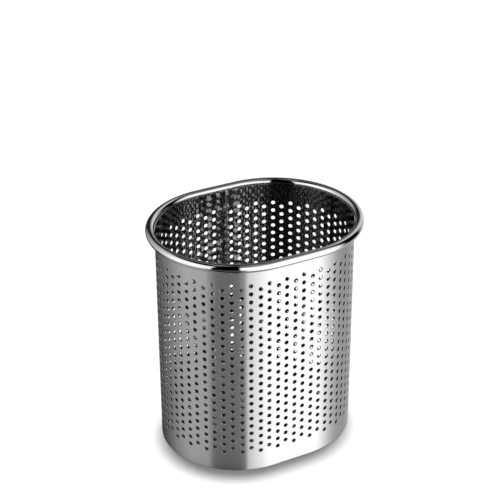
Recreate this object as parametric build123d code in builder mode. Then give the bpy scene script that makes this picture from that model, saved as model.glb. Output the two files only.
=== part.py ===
# Oval stainless cutlery drainer: perforated wall, rim rod and drain base, each its own solid
import os
from math import atan2, cos, degrees, pi, radians, sin

from build123d import *

# Driving sizes of the holder in millimetres, read off the photograph
wall_length = 114.7
wall_width = 90.5
end_radius = 45.2
overall_height = 135.0
sheet = 0.5

# Rim: a round bar welded round the outside of the wall's top edge
rim_rod = 5.0
rim_above_edge = 2.6
rim_weld_gap = 0.05

# Perforation: upright columns of holes, every second column half a row lower
hole = 2.5
row_pitch = 5.0
rows = 22
column_pitch = 5.264
column_shift = 0.2
open_columns = 62
top_margin = 12.3

# Lap seam at the back, where the two ends of the rolled sheet overlap
lap_offset = 1.8
lap_inner_end = 2.75
lap_outer_end = 3.25
lap_step = 1.5
lap_gap = 0.1
lap_below_rim = 0.5
weld_spot = 1.8
weld_every = 4

# Base: a shallow pressed pan standing inside the foot of the wall
base_lift = 3.0
base_flange = 7.0
base_bend = 2.0
base_fit = 0.1
drain_hole = 3.5
drain_pitch = 9.0
drain_edge = 7.0

# Outline of the wall's outside: two round ends and two nearly straight sides, four arcs in all
end_x = wall_length / 2 - end_radius
half_width = wall_width / 2
side_radius = (end_x**2 + half_width**2 - end_radius**2) / (2 * (half_width - end_radius))
side_y = side_radius - half_width
side_lean = atan2(end_x, side_y)
end_turn = pi - 2 * side_lean
arcs = [
    (0, side_y, side_radius, -pi / 2 - side_lean, 2 * side_lean),
    (end_x, 0, end_radius, -end_turn / 2, end_turn),
    (0, -side_y, side_radius, pi / 2 - side_lean, 2 * side_lean),
    (-end_x, 0, end_radius, pi - end_turn / 2, end_turn),
]
perimeter = sum(radius * turn for _, _, radius, _, turn in arcs)
sheet_top = overall_height - rim_above_edge
lap_top = overall_height - rim_rod - lap_below_rim


def outline(inset):
    """Draw the closed outline, moved inwards by the given distance."""
    for x, y, radius, start, turn in arcs:
        CenterArc((x, y), radius - inset, degrees(start), degrees(turn))


def wall_plane(run, z, out):
    """Plane facing out of the wall at a distance along it from the middle of the front."""
    left = (run + side_radius * side_lean) % perimeter
    for x, y, radius, start, turn in arcs:
        if left <= radius * turn:
            break
        left -= radius * turn
    angle = start + left / radius
    across = (cos(angle), sin(angle))
    origin = (x + (radius + out) * across[0], y + (radius + out) * across[1], z)
    return Plane(origin=origin, x_dir=(-across[1], across[0], 0), z_dir=(across[0], across[1], 0))


def lap_point(along, out):
    """Point on the back, along it from the lap's column of holes and out from the sheet."""
    angle = pi / 2 - (lap_offset + along) / side_radius
    return ((side_radius + out) * cos(angle), (side_radius + out) * sin(angle) - side_y)


def column_run(column):
    """Distance along the wall of a column of holes, counted from the lap's own column."""
    lap_run = -perimeter / 2 - lap_offset
    return lap_run + column * column_pitch - column_shift * (column % 2)


def column_middle(column):
    """Height of the middle of a column; odd columns stand half a row higher."""
    lower = 0 if column % 2 else row_pitch / 2
    return sheet_top - top_margin - lower - (rows - 1) * row_pitch / 2


# Wall: one perforated sheet rolled to the oval and lapped at the back
with BuildPart() as wall_sheet:
    with BuildSketch():
        with BuildLine():
            outline(0)
        make_face()
        with BuildLine():
            outline(sheet)
        make_face(mode=Mode.SUBTRACT)
        # The ring is opened beside the inner end and the outer end steps over it
        step_start = lap_inner_end + lap_step + lap_gap
        step_end = lap_inner_end + lap_gap
        with BuildLine():
            Polyline(
                lap_point(lap_inner_end, -2 * sheet),
                lap_point(step_start, -2 * sheet),
                lap_point(step_start, sheet),
                lap_point(lap_inner_end, sheet),
                close=True,
            )
        make_face(mode=Mode.SUBTRACT)
        with BuildLine():
            Polyline(
                lap_point(step_start, -sheet),
                lap_point(step_start, 0),
                lap_point(step_end, lap_gap + sheet),
                lap_point(step_end, lap_gap),
                close=True,
            )
        make_face()
        with BuildLine():
            flap_in = ThreePointArc(
                lap_point(step_end, lap_gap), lap_point(0, lap_gap), lap_point(-lap_outer_end, lap_gap)
            )
            flap_out = ThreePointArc(
                lap_point(step_end, lap_gap + sheet),
                lap_point(0, lap_gap + sheet),
                lap_point(-lap_outer_end, lap_gap + sheet),
            )
            Line(flap_in @ 0, flap_out @ 0)
            Line(flap_in @ 1, flap_out @ 1)
        make_face()
    extrude(amount=lap_top)
    # Above the lap the two ends meet edge to edge so that the rim sits on one thickness
    with BuildSketch(Plane.XY.offset(lap_top)):
        with BuildLine():
            outline(0)
        make_face()
        with BuildLine():
            outline(sheet)
        make_face(mode=Mode.SUBTRACT)
    extrude(amount=sheet_top - lap_top)
    # Holes are punched from inside; on the lap they go through the inner end only
    for column in range(open_columns + 1):
        with BuildSketch(wall_plane(column_run(column), column_middle(column), -2 * sheet)):
            with GridLocations(row_pitch, row_pitch, 1, rows):
                Circle(hole / 2)
    extrude(amount=2 * sheet + lap_gap / 2, mode=Mode.SUBTRACT)
    # Spot welds join the two ends between the lap's holes
    for spot in range(2, rows, weld_every):
        z = column_middle(0) + (spot - rows / 2) * row_pitch
        with BuildSketch(wall_plane(column_run(0), z, -sheet / 2)):
            Circle(weld_spot / 2)
    extrude(amount=sheet + lap_gap)

# Rim: round bar bent to the oval, butt-welded and welded to the wall's outside
with BuildPart() as rim_ring:
    rim_out = rim_rod / 2 + rim_weld_gap
    with BuildLine(Plane.XY.offset(overall_height - rim_rod / 2)) as rim_path:
        outline(-rim_out)
    with BuildSketch(Plane(rim_path.line @ 0, z_dir=rim_path.line % 0)):
        Circle(rim_rod / 2)
    sweep(path=rim_path.line)

# Base: pressed pan with its flange turned up inside the wall's plain foot
with BuildPart() as base_pan:
    pan_inset = sheet + base_fit
    with BuildSketch(Plane.XY.offset(base_lift)):
        with BuildLine():
            outline(pan_inset)
        make_face()
    extrude(amount=base_flange)
    fillet(base_pan.edges().group_by(Axis.Z)[0], base_bend)
    offset(amount=-sheet, openings=base_pan.faces().sort_by(Axis.Z)[-1])
    # Drain holes in staggered rows, kept clear of the bend
    drain_row = drain_pitch * sin(radians(60))
    reach_y = int(half_width / drain_row)
    reach_x = int(wall_length / 2 / drain_pitch) + 1
    spots = []
    for row in range(-reach_y, reach_y + 1):
        for step in range(-reach_x, reach_x + 1):
            x = (step + 0.5 * (row % 2)) * drain_pitch
            y = row * drain_row
            from_end = max(abs(x) - end_x, 0)
            if from_end**2 + y**2 <= (end_radius - drain_edge) ** 2:
                spots.append((x, y))
    with BuildSketch(Plane.XY.offset(base_lift - sheet)):
        with Locations(*spots):
            Circle(drain_hole / 2)
    extrude(amount=3 * sheet, mode=Mode.SUBTRACT)

os.makedirs("parts", exist_ok=True)
wall_sheet.part.label = "wall_sheet"
export_step(wall_sheet.part, "parts/wall_sheet.step", write_pcurves=False)
rim_ring.part.label = "rim_ring"
export_step(rim_ring.part, "parts/rim_ring.step")
base_pan.part.label = "base_pan"
export_step(base_pan.part, "parts/base_pan.step")
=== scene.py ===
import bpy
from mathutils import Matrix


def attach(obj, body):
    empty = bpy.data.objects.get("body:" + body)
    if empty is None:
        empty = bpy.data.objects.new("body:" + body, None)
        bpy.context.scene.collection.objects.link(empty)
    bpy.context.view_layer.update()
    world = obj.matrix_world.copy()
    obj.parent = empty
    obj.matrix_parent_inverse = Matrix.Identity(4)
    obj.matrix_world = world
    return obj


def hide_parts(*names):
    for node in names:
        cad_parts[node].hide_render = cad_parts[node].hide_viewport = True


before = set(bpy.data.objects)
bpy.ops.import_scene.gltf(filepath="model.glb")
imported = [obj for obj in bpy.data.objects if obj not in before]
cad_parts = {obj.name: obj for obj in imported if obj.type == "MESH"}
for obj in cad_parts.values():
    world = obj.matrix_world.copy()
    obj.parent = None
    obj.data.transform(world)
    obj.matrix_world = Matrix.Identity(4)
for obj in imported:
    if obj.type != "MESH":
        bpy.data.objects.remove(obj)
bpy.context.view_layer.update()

from math import atan2, cos, pi, radians, sin, tau

import bpy
import numpy as np
from mathutils import Euler, Matrix, Vector

# Wall sheet: one strip of stainless steel, punched with staggered columns of round holes while flat,
# then rolled into an oval. Its ends lap at the middle of the back and are spot welded there.
wall_length = 0.1147
wall_width = 0.0905
end_radius = 0.0452
sheet = 0.0005
sheet_top = 0.1324
hole = 0.0025
rows = 22
row_pitch = 0.005
columns = 63
column_pitch = 0.005264
column_shift = 0.0002
top_row = 0.1201
lap_offset = 0.0018
lap_outer_end = 0.00325
lap_gap = 0.0001
lap_top = 0.1295
edge_round = 0.0001
hole_sides = 16
edge_steps = 6
lap_steps = 5
weld_sides = 16
weld_count = 6
weld_every = 4.0
merge_within = 0.00001
# marks the faces of a cut edge, which keep their own direction and show the inside steel
cut_side = -0.4

end_x = wall_length / 2 - end_radius
half_width = wall_width / 2
side_radius = (end_x ** 2 + half_width ** 2 - end_radius ** 2) / (2 * (half_width - end_radius))
side_y = side_radius - half_width
side_lean = atan2(end_x, side_y)
end_turn = pi - 2 * side_lean
oval_arcs = [
    (0, side_y, side_radius, -pi / 2 - side_lean, 2 * side_lean),
    (end_x, 0, end_radius, -end_turn / 2, end_turn),
    (0, -side_y, side_radius, pi / 2 - side_lean, 2 * side_lean),
    (-end_x, 0, end_radius, pi - end_turn / 2, end_turn),
]
perimeter = sum(radius * turn for x, y, radius, start, turn in oval_arcs)


def oval_place(run):
    """Point and outward direction on the wall's outer face, run metres from the middle of the front."""
    left = (run + side_radius * side_lean) % perimeter
    for x, y, radius, start, turn in oval_arcs:
        if left <= radius * turn:
            break
        left -= radius * turn
    angle = start + left / radius
    out = Vector((cos(angle), sin(angle), 0))
    return Vector((x, y, 0)) + radius * out, out


def new_object(name, mesh):
    """An object for a mesh or curve, in the scene."""
    made = bpy.data.objects.new(name, mesh)
    bpy.context.scene.collection.objects.link(made)
    return made


def flat_mesh(name, points, faces, facing, hole_edge=None):
    """A piece of flat sheet: x along the sheet, y into the cup, z up, with which way each face looks."""
    mesh = bpy.data.meshes.new(name)
    mesh.from_pydata(points, [], faces)
    side = mesh.attributes.new("facing", "FLOAT", "FACE")
    side.data.foreach_set("value", facing)
    edge = mesh.attributes.new("hole_edge", "FLOAT", "POINT")
    edge.data.foreach_set("value", hole_edge or [0.0] * len(points))
    return new_object(name, mesh)


def hole_tile():
    """One hole and the sheet round it, with the rounded edge the punch leaves on the outside."""
    half_x = column_pitch / 2
    half_z = row_pitch / 2
    border = [(1, 0), (1, 1), (0, 1), (-1, 1), (-1, 0), (-1, -1), (0, -1), (1, -1)]
    corners = len(border)
    turns = [tau * step / hole_sides for step in range(hole_sides)]
    radius = hole / 2
    points = [(half_x * x, 0, half_z * z) for x, z in border]
    for size, depth in ((radius + edge_round, 0), (radius, edge_round), (radius, sheet)):
        points += [(size * cos(turn), depth, size * sin(turn)) for turn in turns]
    points += [(half_x * x, sheet, half_z * z) for x, z in border]
    outer_ring = corners
    bore_ring = outer_ring + hole_sides
    inner_ring = bore_ring + hole_sides
    inner_border = inner_ring + hole_sides
    faces = []
    facing = []
    for step in range(corners):
        after = (step + 1) % corners
        near, middle, far = [(2 * step + more) % hole_sides for more in range(3)]
        faces.append((outer_ring + near, step, after, outer_ring + far, outer_ring + middle))
        faces.append((inner_ring + near, inner_ring + middle, inner_ring + far,
                      inner_border + after, inner_border + step))
        facing += [1, -1]
    for first, side in ((outer_ring, 0), (bore_ring, cut_side)):
        second = first + hole_sides
        for step in range(hole_sides):
            after = (step + 1) % hole_sides
            faces.append((first + step, first + after, second + after, second + step))
            facing.append(side)
    hole_edge = [0.0] * corners + [1.0] * (3 * hole_sides) + [0.0] * corners
    return flat_mesh("hole_tile", points, faces, facing, hole_edge)


def strip_tile(name, stations, profiles):
    """Plain sheet: each profile is a row of (depth, height, facing of the face that follows it)."""
    points = []
    faces = []
    facing = []
    for profile in profiles:
        first = len(points)
        for x in stations:
            points += [(x, depth, height) for depth, height, side in profile]
        for column in range(len(stations) - 1):
            for step in range(len(profile) - 1):
                near = first + column * len(profile) + step
                far = near + len(profile)
                faces.append((near, far, far + 1, near + 1))
                facing.append(profile[step][2])
    return flat_mesh(name, points, faces, facing)


field_top = top_row + row_pitch / 2
field_bottom = top_row - (rows - 0.5) * row_pitch - row_pitch / 2
tile_stations = (-column_pitch / 2, 0, column_pitch / 2)


def edge_profile(low, high, at_top):
    """Section through a band that ends in the sheet's rounded edge, at its top or at its foot."""
    half = sheet / 2
    turns = [pi * step / edge_steps for step in range(edge_steps)]
    if at_top:
        bend = [(half - half * cos(turn), high - half + half * sin(turn), cut_side) for turn in turns]
        return [(0, low, 1)] + bend + [(sheet, high - half, -1), (sheet, low, 0)]
    bend = [(half + half * cos(turn), low + half - half * sin(turn), cut_side) for turn in turns]
    return [(sheet, high, -1)] + bend + [(0, low + half, 1), (0, high, 0)]


filler_profiles = [
    [(0, 0, 1), (0, row_pitch / 2, 0)],
    [(sheet, row_pitch / 2, -1), (sheet, 0, 0)],
]
hole_piece = hole_tile()
filler_piece = strip_tile("filler_tile", tile_stations, filler_profiles)
head_piece = strip_tile("head_tile", tile_stations, [edge_profile(field_top, sheet_top, True)])
foot_piece = strip_tile("foot_tile", tile_stations, [edge_profile(0, field_bottom, False)])


def lap_flap():
    """The outer end of the strip: it steps out by one sheet and lies over the first column of holes."""
    start = columns * column_pitch - (column_pitch + column_shift) / 2
    inner_end = perimeter - (column_pitch + column_shift) / 2
    finish = perimeter + lap_outer_end
    # a soft step out by the sheet and its gap, then flat to the end
    stations = []
    for step in range(lap_steps + 1):
        part = step / lap_steps
        stations.append((start + (inner_end - start) * part, part * part * (3 - 2 * part)))
    for step in range(1, lap_steps + 1):
        stations.append((inner_end + (finish - edge_round - inner_end) * step / lap_steps, 1))
    heights = [edge_round]
    heights += [field_bottom + step * row_pitch / 2 for step in range(2 * rows + 2)]
    heights += [lap_top - edge_round]
    lift = sheet + lap_gap
    loop = [(x, -lift * out) for x, out in stations]
    loop += [(finish, -lift + edge_round), (finish, -lift + sheet - edge_round)]
    loop += [(x, -lift * out + sheet) for x, out in reversed(stations)]
    points = [(x, depth, z) for z in heights for x, depth in loop]
    faces = []
    facing = []
    count = len(loop)
    for level in range(len(heights) - 1):
        for step in range(count - 1):
            low = level * count + step
            faces.append((low, low + 1, low + count + 1, low + count))
            flat_outer = lap_steps <= step < len(stations) - 1
            flat_inner = len(stations) + 2 <= step < count - lap_steps - 1
            facing.append(1 if flat_outer else -1 if flat_inner else 0)
    # the flap's bottom and top edges
    first = (len(heights) - 1) * count
    for step in range(count // 2 - 1):
        low = (step, count - 1 - step, count - 2 - step, step + 1)
        faces.append(low)
        faces.append(tuple(first + at for at in reversed(low)))
        facing += [0, 0]
    # plain sheet above the flap, which stops under the rim
    joined = len(points)
    ends = [(start, 0), (start, sheet), (inner_end, 0), (inner_end, sheet)]
    points += [(x, depth, z) for x, depth in ends for z in (lap_top - edge_round, sheet_top)]
    bridge = [(0, 4, 5, 1), (3, 7, 6, 2), (1, 5, 7, 3), (0, 2, 6, 4)]
    faces += [tuple(joined + at for at in face) for face in bridge]
    facing += [1, -1, 0, 0]
    # the raw end of the sheet under the flap
    cap = len(points)
    low_end = inner_end - perimeter
    points += [(low_end, depth, z) for depth in (0, sheet) for z in (0, sheet_top)]
    faces.append((cap + 2, cap, cap + 1, cap + 3))
    facing.append(0)
    return flat_mesh("lap_flap", points, faces, facing)


flap_piece = lap_flap()


def weld_mark():
    """The shallow round dimple with a raised lip that a spot welder's electrode leaves."""
    radii = (0.0009, 0.0008, 0.00062, 0.00048)
    depths = (0, -0.00004, -0.00005, -0.00001)
    turns = [tau * step / weld_sides for step in range(weld_sides)]
    points = []
    for radius, depth in zip(radii, depths):
        points += [(radius * cos(turn), depth, radius * sin(turn)) for turn in turns]
    faces = []
    for ring in range(len(radii) - 1):
        first = weld_sides * ring
        second = first + weld_sides
        for step in range(weld_sides):
            after = (step + 1) % weld_sides
            faces.append((first + step, first + after, second + after, second + step))
    bottom = weld_sides * (len(radii) - 1)
    faces.append(tuple(range(bottom, bottom + weld_sides)))
    return flat_mesh("weld_mark", points, faces, [0] * len(faces))


weld_piece = weld_mark()

# the oval that the strip is rolled onto, led on past both ends of the strip
path_lead = 0.01
path_steps = 720
path_curve = bpy.data.curves.new("oval_path", "CURVE")
path_curve.dimensions = "3D"
path_line = path_curve.splines.new("POLY")
path_line.points.add(path_steps)
for step in range(path_steps + 1):
    run = (perimeter + 2 * path_lead) * step / path_steps - path_lead
    place, out = oval_place(run - perimeter / 2 - lap_offset)
    path_line.points[step].co = (*place, 1)
path_piece = new_object("oval_path", path_curve)


def node(tree, kind, sockets=None, **choices):
    """Adds a node, makes its choices and feeds its sockets with values or with other nodes' outputs."""
    made = tree.nodes.new(kind)
    for name, choice in choices.items():
        setattr(made, name, choice)
    for name, value in (sockets or {}).items():
        if isinstance(value, bpy.types.NodeSocket):
            tree.links.new(value, made.inputs[name])
        else:
            made.inputs[name].default_value = value
    return made


def maths(tree, operation, first, second=0.0):
    """One sum in a tree."""
    return node(tree, "ShaderNodeMath", {0: first, 1: second}, operation=operation).outputs[0]


def steel(name, colour, metallic, roughness, anisotropic):
    """A steel material with its shader, ready for its own pattern. Returns material, tree and shader."""
    made = bpy.data.materials.new(name)
    made.use_nodes = True
    tree = made.node_tree
    shader = tree.nodes["Principled BSDF"]
    shader.inputs["Base Color"].default_value = (*colour, 1)
    shader.inputs["Metallic"].default_value = metallic
    shader.inputs["Roughness"].default_value = roughness
    shader.inputs["Anisotropic"].default_value = anisotropic
    return made, tree, shader


def mixed_colour(tree, factor, first, second):
    """A blend of two colours."""
    made = node(tree, "ShaderNodeMix", {0: factor}, data_type="RGBA")
    made.inputs[6].default_value = (*first, 1)
    made.inputs[7].default_value = (*second, 1)
    return made.outputs[2]


def spread(tree, value, low, high, to_low, to_high):
    """A value's range moved onto another range."""
    made = node(tree, "ShaderNodeMapRange", {0: value, 1: low, 2: high, 3: to_low, 4: to_high})
    return made.outputs[0]


def mixed_patterns(tree, first, share, second):
    """Two patterns added together, the first with that share of the whole."""
    part = maths(tree, "MULTIPLY", first, share)
    rest = maths(tree, "MULTIPLY", second, 1 - share)
    return maths(tree, "ADD", part, rest)


def sheet_noise(tree, along, up, detail):
    """Noise laid along the flat sheet, with that many features to the metre along it and up it."""
    through = 900
    place = node(tree, "ShaderNodeAttribute", attribute_name="sheet_place")
    scaled = node(tree, "ShaderNodeMapping", {
        "Vector": place.outputs["Vector"], "Scale": (along, up, through)})
    made = node(tree, "ShaderNodeTexNoise", {
        "Vector": scaled.outputs[0], "Scale": 1.0, "Detail": detail})
    return made.outputs["Fac"]


def sheet_steel(name, colours, metallic, roughness, anisotropic, brushing, lift, waves):
    """Rolled sheet: fine brush lines round the cup, handling smudges, a faint grain, slight waves."""
    made, tree, shader = steel(name, colours[0], metallic, roughness[1], anisotropic)
    lines = sheet_noise(tree, along=35, up=brushing, detail=4.0)
    smudge = sheet_noise(tree, along=28, up=22, detail=2.0)
    grain = sheet_noise(tree, along=2300, up=2900, detail=1.0)
    hollows = sheet_noise(tree, along=240, up=190, detail=1.0)
    tone = spread(tree, mixed_patterns(tree, lines, 0.55, grain), 0.3, 0.7, 0.0, 1.0)
    tree.links.new(mixed_colour(tree, tone, colours[0], colours[1]), shader.inputs["Base Color"])
    wear = spread(tree, mixed_patterns(tree, lines, 0.5, smudge), 0.3, 0.7, roughness[0], roughness[1])
    tree.links.new(wear, shader.inputs["Roughness"])
    wave = node(tree, "ShaderNodeBump", {"Strength": 1.0, "Distance": waves, "Height": hollows})
    bump = node(tree, "ShaderNodeBump", {
        "Strength": 0.25, "Distance": lift, "Height": lines, "Normal": wave.outputs[0]})
    tree.links.new(bump.outputs[0], shader.inputs["Normal"])
    # the brush lines run round the cup, so a quarter turn spreads the gloss up and down
    quarter_turn = 0.25
    round_cup = node(tree, "ShaderNodeTangent", direction_type="RADIAL", axis="Z")
    tree.links.new(round_cup.outputs[0], shader.inputs["Tangent"])
    shader.inputs["Anisotropic Rotation"].default_value = quarter_turn
    return made


satin_outside = sheet_steel(
    "wall_satin_steel", colours=((0.615, 0.617, 0.618), (0.65, 0.652, 0.65)), metallic=0.78,
    roughness=(0.16, 0.2), anisotropic=0.7, brushing=2600, lift=0.000002, waves=0.000001)
# the inside keeps a mirror finish, but its colour is darkened far below steel's own: painted shade for
# the inside of the cup
mirror_inside_painted_shade = sheet_steel(
    "wall_mirror_inside_painted_shade", colours=((0.19, 0.19, 0.19), (0.23, 0.23, 0.228)), metallic=1.0,
    roughness=(0.045, 0.075), anisotropic=0.0, brushing=1800, lift=0.0000004, waves=0.00005)


def sheet_tree():
    """The tree that lays the tiles out as a flat strip, joins them and rolls the strip into the oval."""
    tree = bpy.data.node_groups.new("punched_and_rolled_strip", "GeometryNodeTree")
    tree.is_modifier = True
    kinds = [
        ("Hole Tile", "NodeSocketObject"), ("Filler Tile", "NodeSocketObject"),
        ("Head Tile", "NodeSocketObject"), ("Foot Tile", "NodeSocketObject"),
        ("Lap Flap", "NodeSocketObject"), ("Weld Mark", "NodeSocketObject"),
        ("Oval Path", "NodeSocketObject"),
        ("Columns", "NodeSocketInt"), ("Rows", "NodeSocketInt"), ("Welds", "NodeSocketInt"),
        ("Column Pitch", "NodeSocketFloat"), ("Column Shift", "NodeSocketFloat"),
        ("Row Pitch", "NodeSocketFloat"), ("Top Row", "NodeSocketFloat"),
        ("Path Lead", "NodeSocketFloat"), ("Lap Run", "NodeSocketFloat"),
        ("Lap Lift", "NodeSocketFloat"),
        ("Outside Steel", "NodeSocketMaterial"), ("Inside Steel", "NodeSocketMaterial"),
    ]
    for name, kind in kinds:
        tree.interface.new_socket(name=name, in_out="INPUT", socket_type=kind)
    tree.interface.new_socket(name="Geometry", in_out="OUTPUT", socket_type="NodeSocketGeometry")
    sizes = node(tree, "NodeGroupInput").outputs
    index = node(tree, "GeometryNodeInputIndex").outputs[0]

    def laid_out(count, x, y, z, tile):
        """Copies of a tile on a row of points of the flat strip."""
        where = node(tree, "ShaderNodeCombineXYZ", {0: x, 1: y, 2: z})
        points = node(tree, "GeometryNodePoints", {"Count": count, "Position": where.outputs[0]})
        shape = node(tree, "GeometryNodeObjectInfo", {"Object": sizes[tile], "As Instance": True})
        copies = node(tree, "GeometryNodeInstanceOnPoints", {
            "Points": points.outputs[0], "Instance": shape.outputs["Geometry"]})
        return copies.outputs[0]

    half_shift = maths(tree, "MULTIPLY", sizes["Column Shift"], 0.5)
    half_row = maths(tree, "MULTIPLY", sizes["Row Pitch"], 0.5)

    # holes, numbered down one column and then down the next
    column = maths(tree, "FLOOR", maths(tree, "DIVIDE", index, sizes["Rows"]))
    row = maths(tree, "MODULO", index, sizes["Rows"])
    odd = maths(tree, "MODULO", column, 2.0)
    even = maths(tree, "SUBTRACT", 1.0, odd)
    along = maths(tree, "SUBTRACT", maths(tree, "MULTIPLY", column, sizes["Column Pitch"]), half_shift)
    drop = maths(tree, "ADD", maths(tree, "MULTIPLY", row, sizes["Row Pitch"]),
                 maths(tree, "MULTIPLY", even, half_row))
    height = maths(tree, "SUBTRACT", sizes["Top Row"], drop)
    count = maths(tree, "MULTIPLY", sizes["Columns"], sizes["Rows"])
    where = node(tree, "ShaderNodeCombineXYZ", {0: along, 1: 0.0, 2: height})
    spots = node(tree, "GeometryNodePoints", {"Count": count, "Position": where.outputs[0]})
    lean = maths(tree, "MULTIPLY", maths(tree, "SUBTRACT", even, odd), half_shift)
    leaning = node(tree, "GeometryNodeStoreNamedAttribute", {
        "Geometry": spots.outputs[0], "Name": "hole_shift", "Value": lean},
        data_type="FLOAT", domain="POINT")
    tile = node(tree, "GeometryNodeObjectInfo", {"Object": sizes["Hole Tile"], "As Instance": True})
    holes = node(tree, "GeometryNodeInstanceOnPoints", {
        "Points": leaning.outputs[0], "Instance": tile.outputs["Geometry"]}).outputs[0]

    # plain sheet over the low columns and under the high ones, then the head and foot bands
    odd_one = maths(tree, "MODULO", index, 2.0)
    span = maths(tree, "MULTIPLY", sizes["Row Pitch"], sizes["Rows"])
    step_down = maths(tree, "MULTIPLY", odd_one, span)
    strip_run = maths(tree, "MULTIPLY", index, sizes["Column Pitch"])
    along_one = maths(tree, "SUBTRACT", strip_run, half_shift)
    filler_z = maths(tree, "SUBTRACT", sizes["Top Row"], step_down)
    fillers = laid_out(sizes["Columns"], along_one, 0.0, filler_z, "Filler Tile")
    heads = laid_out(sizes["Columns"], along_one, 0.0, 0.0, "Head Tile")
    feet = laid_out(sizes["Columns"], along_one, 0.0, 0.0, "Foot Tile")

    # spot welds down the lap, between every fourth pair of holes
    weld_row = maths(tree, "ADD", maths(tree, "MULTIPLY", index, weld_every), 1.0)
    weld_drop = maths(tree, "MULTIPLY", weld_row, sizes["Row Pitch"])
    weld_z = maths(tree, "SUBTRACT", sizes["Top Row"], weld_drop)
    welds = laid_out(sizes["Welds"], sizes["Lap Run"], sizes["Lap Lift"], weld_z, "Weld Mark")
    flap = node(tree, "GeometryNodeObjectInfo", {"Object": sizes["Lap Flap"], "As Instance": True})

    # all tiles become one mesh, the hole rings move to their true columns and the seams close
    joined = node(tree, "GeometryNodeJoinGeometry")
    for part in (holes, fillers, heads, feet, welds, flap.outputs["Geometry"]):
        tree.links.new(part, joined.inputs[0])
    solid = node(tree, "GeometryNodeRealizeInstances", {0: joined.outputs[0]})
    on_edge = node(tree, "GeometryNodeInputNamedAttribute", {"Name": "hole_edge"}, data_type="FLOAT")
    leans = node(tree, "GeometryNodeInputNamedAttribute", {"Name": "hole_shift"}, data_type="FLOAT")
    push = maths(tree, "MULTIPLY", on_edge.outputs[0], leans.outputs[0])
    sideways = node(tree, "ShaderNodeCombineXYZ", {0: push})
    set_holes = node(tree, "GeometryNodeSetPosition", {
        "Geometry": solid.outputs[0], "Offset": sideways.outputs[0]})
    merged = node(tree, "GeometryNodeMergeByDistance", {
        "Geometry": set_holes.outputs[0], "Distance": merge_within})

    # the flat place is kept for the brushing, then the strip is rolled onto the oval
    flat = node(tree, "GeometryNodeInputPosition")
    parts = node(tree, "ShaderNodeSeparateXYZ", {0: flat.outputs[0]})
    kept = node(tree, "ShaderNodeCombineXYZ", {
        0: parts.outputs[0], 1: parts.outputs[2], 2: parts.outputs[1]})
    placed = node(tree, "GeometryNodeStoreNamedAttribute", {
        "Geometry": merged.outputs[0], "Name": "sheet_place", "Value": kept.outputs[0]},
        data_type="FLOAT_VECTOR", domain="POINT")
    path = node(tree, "GeometryNodeObjectInfo", {"Object": sizes["Oval Path"]})
    length = maths(tree, "ADD", parts.outputs[0], sizes["Path Lead"])
    follow = node(tree, "GeometryNodeSampleCurve", {
        "Curves": path.outputs["Geometry"], "Length": length}, mode="LENGTH")
    inward = node(tree, "ShaderNodeVectorMath", {0: (0, 0, 1), 1: follow.outputs["Tangent"]},
                  operation="CROSS_PRODUCT")
    outward = node(tree, "ShaderNodeVectorMath", {0: inward.outputs[0], "Scale": -1.0},
                   operation="SCALE")
    kept_out = node(tree, "GeometryNodeStoreNamedAttribute", {
        "Geometry": placed.outputs[0], "Name": "wall_out", "Value": outward.outputs[0]},
        data_type="FLOAT_VECTOR", domain="POINT")
    deep = node(tree, "ShaderNodeVectorMath", {0: inward.outputs[0], "Scale": parts.outputs[1]},
                operation="SCALE")
    tall = node(tree, "ShaderNodeCombineXYZ", {2: parts.outputs[2]})
    across = node(tree, "ShaderNodeVectorMath", {0: follow.outputs["Position"], 1: deep.outputs[0]},
                  operation="ADD")
    rolled = node(tree, "ShaderNodeVectorMath", {0: across.outputs[0], 1: tall.outputs[0]},
                  operation="ADD")
    shaped = node(tree, "GeometryNodeSetPosition", {
        "Geometry": kept_out.outputs[0], "Position": rolled.outputs[0]})

    # faces that look into the cup, and the cut edges, show the inside steel, whose dark colour is
    # painted shade
    side = node(tree, "GeometryNodeInputNamedAttribute", {"Name": "facing"}, data_type="FLOAT")
    looks_in = node(tree, "FunctionNodeCompare", {0: side.outputs[0], 1: cut_side / 2},
                    data_type="FLOAT", operation="LESS_THAN")
    outside = node(tree, "GeometryNodeSetMaterial", {
        "Geometry": shaped.outputs[0], "Material": sizes["Outside Steel"]})
    inside = node(tree, "GeometryNodeSetMaterial", {
        "Geometry": outside.outputs[0], "Selection": looks_in.outputs[0],
        "Material": sizes["Inside Steel"]})
    node(tree, "NodeGroupOutput", {0: inside.outputs[0]})
    return tree


def grown(name, tree, values):
    """Runs a tree on an empty mesh with the named sizes and keeps the result as a plain mesh object."""
    holder = new_object(name + "_tree", bpy.data.meshes.new(name + "_tree"))
    modifier = holder.modifiers.new(name, "NODES")
    modifier.node_group = tree
    for item in tree.interface.items_tree:
        if item.in_out == "INPUT":
            modifier[item.identifier] = values[item.name]
    bpy.context.view_layer.update()
    ready = holder.evaluated_get(bpy.context.evaluated_depsgraph_get())
    mesh = bpy.data.meshes.new_from_object(ready)
    holder.modifiers.clear()
    bpy.data.objects.remove(holder)
    mesh.name = name
    return new_object(name, mesh)


wall = grown("perforated_wall", sheet_tree(), {
    "Hole Tile": hole_piece, "Filler Tile": filler_piece, "Head Tile": head_piece,
    "Foot Tile": foot_piece, "Lap Flap": flap_piece, "Weld Mark": weld_piece, "Oval Path": path_piece,
    "Columns": columns, "Rows": rows, "Welds": weld_count,
    "Column Pitch": column_pitch, "Column Shift": column_shift,
    "Row Pitch": row_pitch, "Top Row": top_row,
    "Path Lead": path_lead, "Lap Run": perimeter, "Lap Lift": -(sheet + lap_gap),
    "Outside Steel": satin_outside, "Inside Steel": mirror_inside_painted_shade,
})
for spare in (hole_piece, filler_piece, head_piece, foot_piece, flap_piece, weld_piece, path_piece):
    bpy.data.objects.remove(spare)


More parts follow.
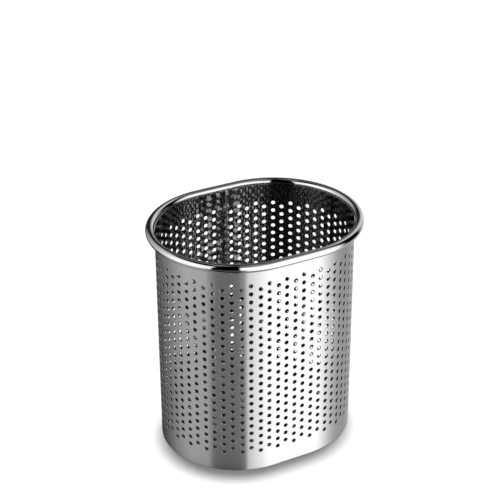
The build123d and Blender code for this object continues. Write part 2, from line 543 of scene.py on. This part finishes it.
def rolled_normals(mesh):
    """Gives the rolled faces the true direction of the oval and leaves hole edges crisp."""
    corners = np.zeros(len(mesh.loops), np.int32)
    mesh.loops.foreach_get("vertex_index", corners)
    counts = np.zeros(len(mesh.polygons), np.int32)
    mesh.polygons.foreach_get("loop_total", counts)
    flat = np.zeros(len(mesh.polygons) * 3, np.float32)
    mesh.polygons.foreach_get("normal", flat)
    facing = np.zeros(len(mesh.polygons), np.float32)
    mesh.attributes["facing"].data.foreach_get("value", facing)
    out = np.zeros(len(mesh.vertices) * 3, np.float32)
    mesh.attributes["wall_out"].data.foreach_get("vector", out)
    side = np.repeat(facing, counts)[:, None]
    own = np.repeat(flat.reshape(-1, 3), counts, axis=0)
    rolled_face = np.abs(side) > 0.5
    normals = np.where(rolled_face, side * out.reshape(-1, 3)[corners], own)
    mesh.polygons.foreach_set("use_smooth", np.ones(len(mesh.polygons), bool))
    mesh.normals_split_custom_set(normals.tolist())
    for spare_name in ("wall_out", "hole_edge", "hole_shift"):
        mesh.attributes.remove(mesh.attributes[spare_name])


rolled_normals(wall.data)
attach(wall, "root")
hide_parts("wall_sheet")

# Base pan: a shallow stainless pan pressed from sheet, with a turned-up flange that is spot welded
# inside the foot of the wall and staggered drain holes that let the water out.
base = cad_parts["base_pan"]


def place_noise(tree, scale, detail):
    """Noise on a piece's own place, with that many features to the metre on each axis."""
    place = node(tree, "ShaderNodeTexCoord")
    scaled = node(tree, "ShaderNodeMapping", {"Vector": place.outputs["Object"], "Scale": scale})
    made = node(tree, "ShaderNodeTexNoise", {
        "Vector": scaled.outputs[0], "Scale": 1.0, "Detail": detail})
    return made.outputs["Fac"]


# the base's colour is darkened far below steel's own: painted shade for the floor of the cup, with the
# stain noise adding its real tone
painted_shade_base, base_nodes, base_shader = steel(
    "base_bright_steel", colour=(0.25, 0.25, 0.247), metallic=1.0, roughness=0.25, anisotropic=0.0)
base_lines = place_noise(base_nodes, scale=(60, 1900, 60), detail=3.0)
base_stain = place_noise(base_nodes, scale=(55, 55, 55), detail=3.0)
base_stain_and_painted_shade = mixed_colour(base_nodes, spread(base_nodes, base_stain, 0.35, 0.7, 0.0, 1.0),
                         (0.27, 0.27, 0.267), (0.22, 0.217, 0.211))
base_nodes.links.new(base_stain_and_painted_shade, base_shader.inputs["Base Color"])
base_marks = mixed_patterns(base_nodes, base_lines, 0.6, base_stain)
base_wear = spread(base_nodes, base_marks, 0.3, 0.7, 0.16, 0.3)
base_nodes.links.new(base_wear, base_shader.inputs["Roughness"])
base_bump = node(base_nodes, "ShaderNodeBump", {
    "Strength": 0.3, "Distance": 0.000005, "Height": base_lines})
base_nodes.links.new(base_bump.outputs[0], base_shader.inputs["Normal"])
base.data.materials.clear()
base.data.materials.append(painted_shade_base)

# Rim ring: a round stainless rod bent to the oval, butt welded at the back, ground flush and polished.
# It lies outside the top edge of the wall, is welded to it from above and covers the raw edge.
rim_rod = 0.005
rim_gap = 0.00005
overall_height = 0.135
rim_height = overall_height - rim_rod / 2
# the swept rod is slimmer by this all round, so that it stays inside the box of the CAD mesh
rim_skin = 0.00002
rim_steps = 400
rod_steps = 32


def rim_mesh():
    """The rod swept round the oval and closed on itself."""
    mesh = bpy.data.meshes.new("polished_rim")
    points = []
    for step in range(rim_steps):
        run = perimeter * step / rim_steps
        place, out = oval_place(run - perimeter / 2)
        centre = place + out * (rim_rod / 2 + rim_gap)
        for turn in range(rod_steps):
            angle = tau * turn / rod_steps
            offset = out * cos(angle) + Vector((0, 0, 1)) * sin(angle)
            points.append(centre + offset * (rim_rod / 2 - rim_skin) + Vector((0, 0, rim_height)))
    faces = []
    for step in range(rim_steps):
        near = step * rod_steps
        far = (step + 1) % rim_steps * rod_steps
        for turn in range(rod_steps):
            after = (turn + 1) % rod_steps
            faces.append((near + turn, far + turn, far + after, near + after))
    mesh.from_pydata(points, [], faces)
    mesh.polygons.foreach_set("use_smooth", [True] * len(faces))
    return mesh


rim = new_object("polished_rim", rim_mesh())
polished, rim_nodes, rim_shader = steel(
    "rim_polished_steel", colour=(0.86, 0.865, 0.87), metallic=1.0, roughness=0.05, anisotropic=0.0)
rim_cloud = place_noise(rim_nodes, scale=(120, 120, 120), detail=3.0)
rim_lines = place_noise(rim_nodes, scale=(900, 900, 5200), detail=2.0)
rim_tone = mixed_colour(rim_nodes, spread(rim_nodes, rim_cloud, 0.3, 0.7, 0.0, 1.0),
                        (0.84, 0.845, 0.85), (0.88, 0.882, 0.882))
rim_nodes.links.new(rim_tone, rim_shader.inputs["Base Color"])
rim_marks = mixed_patterns(rim_nodes, rim_cloud, 0.6, rim_lines)
rim_wear = spread(rim_nodes, rim_marks, 0.3, 0.7, 0.015, 0.045)
rim_nodes.links.new(rim_wear, rim_shader.inputs["Roughness"])
rim_bump = node(rim_nodes, "ShaderNodeBump", {
    "Strength": 0.05, "Distance": 0.000004, "Height": rim_lines})
rim_nodes.links.new(rim_bump.outputs[0], rim_shader.inputs["Normal"])
rim.data.materials.append(polished)
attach(rim, "root")
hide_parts("rim_ring")

# Floor: a plain white sweep under the cup, reaching far past the edges of the picture. The steel does
# not mirror it: the lowest panels of the studio light stand in for it there.
floor_reach = 8
floor_corners = [(floor_reach * x, floor_reach * y, 0) for x, y in ((-1, -1), (1, -1), (1, 1), (-1, 1))]
floor_mesh = bpy.data.meshes.new("floor")
floor_mesh.from_pydata(floor_corners, [], [(0, 1, 2, 3)])
floor = new_object("floor", floor_mesh)
floor_paint = bpy.data.materials.new("white_sweep")
floor_paint.use_nodes = True
floor_shader = floor_paint.node_tree.nodes["Principled BSDF"]
floor_shader.inputs["Base Color"].default_value = (0.9, 0.9, 0.9, 1)
floor_shader.inputs["Roughness"].default_value = 0.8
floor_shader.inputs["Specular IOR Level"].default_value = 0.0
floor_mesh.materials.append(floor_paint)
floor.visible_glossy = False

# Studio light: even white from all round, and a white backdrop that the camera alone sees. What the
# steel mirrors is a ring of panels round the cup, a white one to the right, a black one on the
# camera's side, grey ones to the left and behind.
view_turn = radians(-28.218)
view_rise = radians(28.048)
studio = bpy.data.worlds.new("studio")
bpy.context.scene.world = studio
studio.use_nodes = True
studio_nodes = studio.node_tree
studio_nodes.nodes.clear()
look = node(studio_nodes, "ShaderNodeTexCoord").outputs["Generated"]
right_way = (cos(view_turn), sin(view_turn), 0)
front_way = (sin(view_turn), -cos(view_turn), 0)
to_right = node(studio_nodes, "ShaderNodeVectorMath", {0: look, 1: right_way}, operation="DOT_PRODUCT")
to_front = node(studio_nodes, "ShaderNodeVectorMath", {0: look, 1: front_way}, operation="DOT_PRODUCT")
bearing = maths(studio_nodes, "ARCTAN2", to_right.outputs["Value"], to_front.outputs["Value"])
share_of_ring = spread(studio_nodes, bearing, -pi, pi, 0.0, 1.0)
rise = node(studio_nodes, "ShaderNodeSeparateXYZ", {0: look}).outputs[2]


def panels(stops):
    """Brightness of the panels round the cup, by bearing in degrees to the right of the camera.

    A new ramp has two points, so the stops begin with the two ends, which are both behind the cup.
    """
    ramp = node(studio_nodes, "ShaderNodeValToRGB", {0: share_of_ring})
    points = ramp.color_ramp.elements
    for at, (degree, level) in enumerate(stops):
        place = degree / 360 + 0.5
        point = points[at] if at < 2 else points.new(place)
        point.position = place
        point.color = (level, level, level, 1)
    return ramp.outputs[0]


contact = panels([(-180, 0.25), (180, 0.25), (-62, 0.25), (-46, 0.01), (10, 0.01), (24, 0.25)])
near_floor = panels([
    (-180, 0.2), (180, 0.2), (-130, 0.25), (-75, 0.36), (-45, 0.3), (-40, 0.0), (8, 0.0), (12, 0.3),
    (45, 0.55), (95, 0.55), (130, 0.3)])
floor_cards = panels([
    (-180, 0.2), (180, 0.2), (-170, 0.04), (-150, 0.0), (-135, 0.02), (-115, 0.13), (-90, 0.36),
    (-72, 0.46), (-43, 0.42), (-37, 0.09), (12, 0.12), (16, 1.05), (38, 1.7), (48, 2.1), (66, 2.1),
    (75, 1.65), (88, 1.0), (101, 0.62), (115, 0.42), (140, 0.4), (155, 0.5), (170, 0.6)])
side_cards = panels([
    (-180, 0.22), (180, 0.22), (-171, 0.1), (-167, 0.03), (-150, 0.03), (-140, 0.3), (-105, 0.62),
    (-88, 0.95), (-72, 1.25), (-31, 1.0), (-28, 0.0), (4, 0.0), (7, 1.1), (60, 1.2), (84, 0.95),
    (95, 0.08), (99, 0.0), (124, 0.0), (136, 0.5), (150, 0.75), (162, 0.55), (172, 0.3)])
upper_cards = panels([
    (-180, 0.04), (180, 0.04), (-172, 0.01), (-156, 0.01), (-148, 0.15), (-138, 0.35), (-105, 0.62),
    (-88, 0.95), (-72, 1.25), (-31, 1.0), (-28, 0.0), (4, 0.0), (7, 1.1), (60, 1.2), (84, 0.95),
    (95, 0.08), (99, 0.0), (124, 0.0), (136, 0.5), (150, 0.7), (162, 0.5), (172, 0.2)])
card_tops = panels([
    (-180, 0.03), (180, 0.03), (-168, 0.03), (-150, 0.27), (-136, 0.04), (-110, 0.01), (-38, 0.0),
    (24, 0.0), (38, 0.25), (100, 0.3), (110, 0.1), (160, 0.1), (172, 0.03)])
ceiling = panels([
    (-180, 0.0), (180, 0.0), (-155, 0.0), (-138, 0.3), (-100, 0.38), (-76, 0.38), (-62, 0.0),
    (14, 0.0), (30, 0.3), (120, 0.3), (160, 0.14), (172, 0.0)])


def blended(factor, first, second):
    """One set of panels above another."""
    made = node(studio_nodes, "ShaderNodeMix", {0: factor, 6: first, 7: second}, data_type="RGBA")
    return made.outputs[2]


def above(low, high):
    """How far a direction has climbed from one rise to a higher one, both in degrees."""
    return spread(studio_nodes, rise, sin(radians(low)), sin(radians(high)), 0.0, 1.0)


# the rises, in degrees, between which each set of panels takes over from the one below it
takeovers = [
    (-66, -58, near_floor), (-47, -40, floor_cards), (-30, -14, side_cards),
    (13, 21, upper_cards), (47, 53, card_tops), (73, 79, ceiling),
]
mirrored = contact
for low, high, higher_panels in takeovers:
    mirrored = blended(above(low, high), mirrored, higher_panels)
panel_light = node(studio_nodes, "ShaderNodeBackground", {"Color": mirrored, "Strength": 1.0})
even_light = node(studio_nodes, "ShaderNodeBackground", {"Color": (1, 1, 1, 1), "Strength": 0.28})
backdrop = node(studio_nodes, "ShaderNodeBackground", {"Color": (1, 1, 1, 1), "Strength": 1.0})
rays = node(studio_nodes, "ShaderNodeLightPath").outputs
lit = node(studio_nodes, "ShaderNodeMixShader", {
    0: rays["Is Glossy Ray"], 1: even_light.outputs[0], 2: panel_light.outputs[0]})
seen = node(studio_nodes, "ShaderNodeMixShader", {
    0: rays["Is Camera Ray"], 1: lit.outputs[0], 2: backdrop.outputs[0]})
node(studio_nodes, "ShaderNodeOutputWorld", {0: seen.outputs[0]})

# Lamps: a softbox almost overhead, which only the wall and the base pan block, draws the contact shadow
# on the floor. A wide lamp straight overhead reaches only the base pan, which the panels leave dark.
softbox_tilt = radians(-4)
softbox_turn = view_turn - radians(5)
in_the_light = bpy.data.collections.new("stands_in_the_light")
in_the_light.objects.link(wall)
in_the_light.objects.link(base)
softbox = bpy.data.lights.new("overhead_softbox", "SUN")
softbox.energy = 2.95
softbox.angle = radians(5.6)
softbox_holder = new_object("overhead_softbox", softbox)
softbox_holder.rotation_euler = Euler((softbox_tilt, 0, softbox_turn))
softbox_holder.visible_glossy = False
softbox_holder.light_linking.blocker_collection = in_the_light
seen_from_above = bpy.data.collections.new("seen_from_above")
seen_from_above.objects.link(base)
base_lamp = bpy.data.lights.new("base_lamp", "SUN")
base_lamp.energy = 1.2
base_lamp.angle = radians(60)
base_lamp_holder = new_object("base_lamp", base_lamp)
base_lamp_holder.light_linking.receiver_collection = seen_from_above

# Camera: a long lens from the front left and above, at the photograph's angle. Its place and turn come
# from the fit of the holes, rim, sides and foot to the photograph.
lens = bpy.data.cameras.new("camera")
lens.sensor_width = 36
lens.lens = 99.4
lens.clip_start = 0.01
camera = new_object("camera", lens)
camera.location = (-0.32721, -0.60344, 0.48087)
view_roll = radians(-0.214)
upright = Euler((pi / 2 - view_rise, 0, view_turn)).to_matrix()
camera.rotation_euler = (upright @ Matrix.Rotation(view_roll, 3, "Z")).to_euler()
bpy.context.scene.camera = camera
bpy.context.scene.view_settings.view_transform = "Standard"
